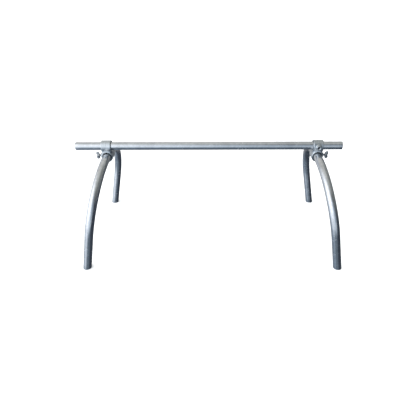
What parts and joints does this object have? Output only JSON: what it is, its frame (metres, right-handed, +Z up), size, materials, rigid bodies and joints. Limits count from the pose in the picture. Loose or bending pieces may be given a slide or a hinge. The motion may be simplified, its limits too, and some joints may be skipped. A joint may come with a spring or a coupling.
{
  "type": "folding sawhorse",
  "caption": "Folding tube trestle: a round crossbar held by cross fittings on bent tube leg arches that swivel flat under the bar once their wing screws are loosened.",
  "frame": {"origin": "on the floor, below the middle of the crossbar, which is the middle of the four feet's outline front to back", "axes": "+X along the crossbar to the right, +Y to the rear, +Z up"},
  "size_m": [1.6, 0.8184, 0.659],
  "materials": {
    "galvanised_tube": "hot-dip galvanised steel with a soft mottled zinc spangle",
    "cast_fitting": "hot-dip galvanised casting, slightly rough",
    "zinc_screw": "zinc-plated steel, dulled",
    "black_screw": "black-oxide steel"
  },
  "bodies": {
    "crossbar": {"crossbar": "galvanised_tube"},
    "left_cross_fitting": {"left_cross_fitting": "cast_fitting"},
    "right_cross_fitting": {"right_cross_fitting": "cast_fitting"},
    "left_leg_arch": {"left_leg_arch": "galvanised_tube"},
    "right_leg_arch": {"right_leg_arch": "galvanised_tube"},
    "left_wing_screw": {"left_wing_screw": "zinc_screw"},
    "right_wing_screw": {"right_wing_screw": "zinc_screw"},
    "left_set_screw": {"left_set_screw": "black_screw"},
    "right_set_screw": {"right_set_screw": "black_screw"}
  },
  "joints": [
    {"name": "left_fitting_slide", "type": "slide", "parent": "crossbar", "child": "left_cross_fitting", "axis": [1, 0, 0], "range_m": [-0.156, 0.574]},
    {"name": "left_arch_swivel", "type": "hinge", "parent": "left_cross_fitting", "child": "left_leg_arch", "pos_m": [-0.614, 0, 0.565], "axis": [0, 1, 0], "range_deg": [-102, 78]},
    {"name": "left_wing_screw_turn", "type": "hinge", "parent": "left_cross_fitting", "child": "left_wing_screw", "pos_m": [-0.614, 0, 0.565], "axis": [-1, 0, 0], "range_deg": [0, 450]},
    {"name": "left_set_screw_turn", "type": "hinge", "parent": "left_cross_fitting", "child": "left_set_screw", "pos_m": [-0.614, 0, 0.625], "axis": [0, 1, 0], "range_deg": [0, 450]},
    {"name": "right_fitting_slide", "type": "slide", "parent": "crossbar", "child": "right_cross_fitting", "axis": [-1, 0, 0], "range_m": [-0.115, 0.615]},
    {"name": "right_arch_swivel", "type": "hinge", "parent": "right_cross_fitting", "child": "right_leg_arch", "pos_m": [0.655, 0, 0.565], "axis": [0, -1, 0], "range_deg": [-102, 78]},
    {"name": "right_wing_screw_turn", "type": "hinge", "parent": "right_cross_fitting", "child": "right_wing_screw", "pos_m": [0.655, 0, 0.565], "axis": [1, 0, 0], "range_deg": [0, 450]},
    {"name": "right_set_screw_turn", "type": "hinge", "parent": "right_cross_fitting", "child": "right_set_screw", "pos_m": [0.655, 0, 0.625], "axis": [0, -1, 0], "range_deg": [0, 450]}
  ]
}
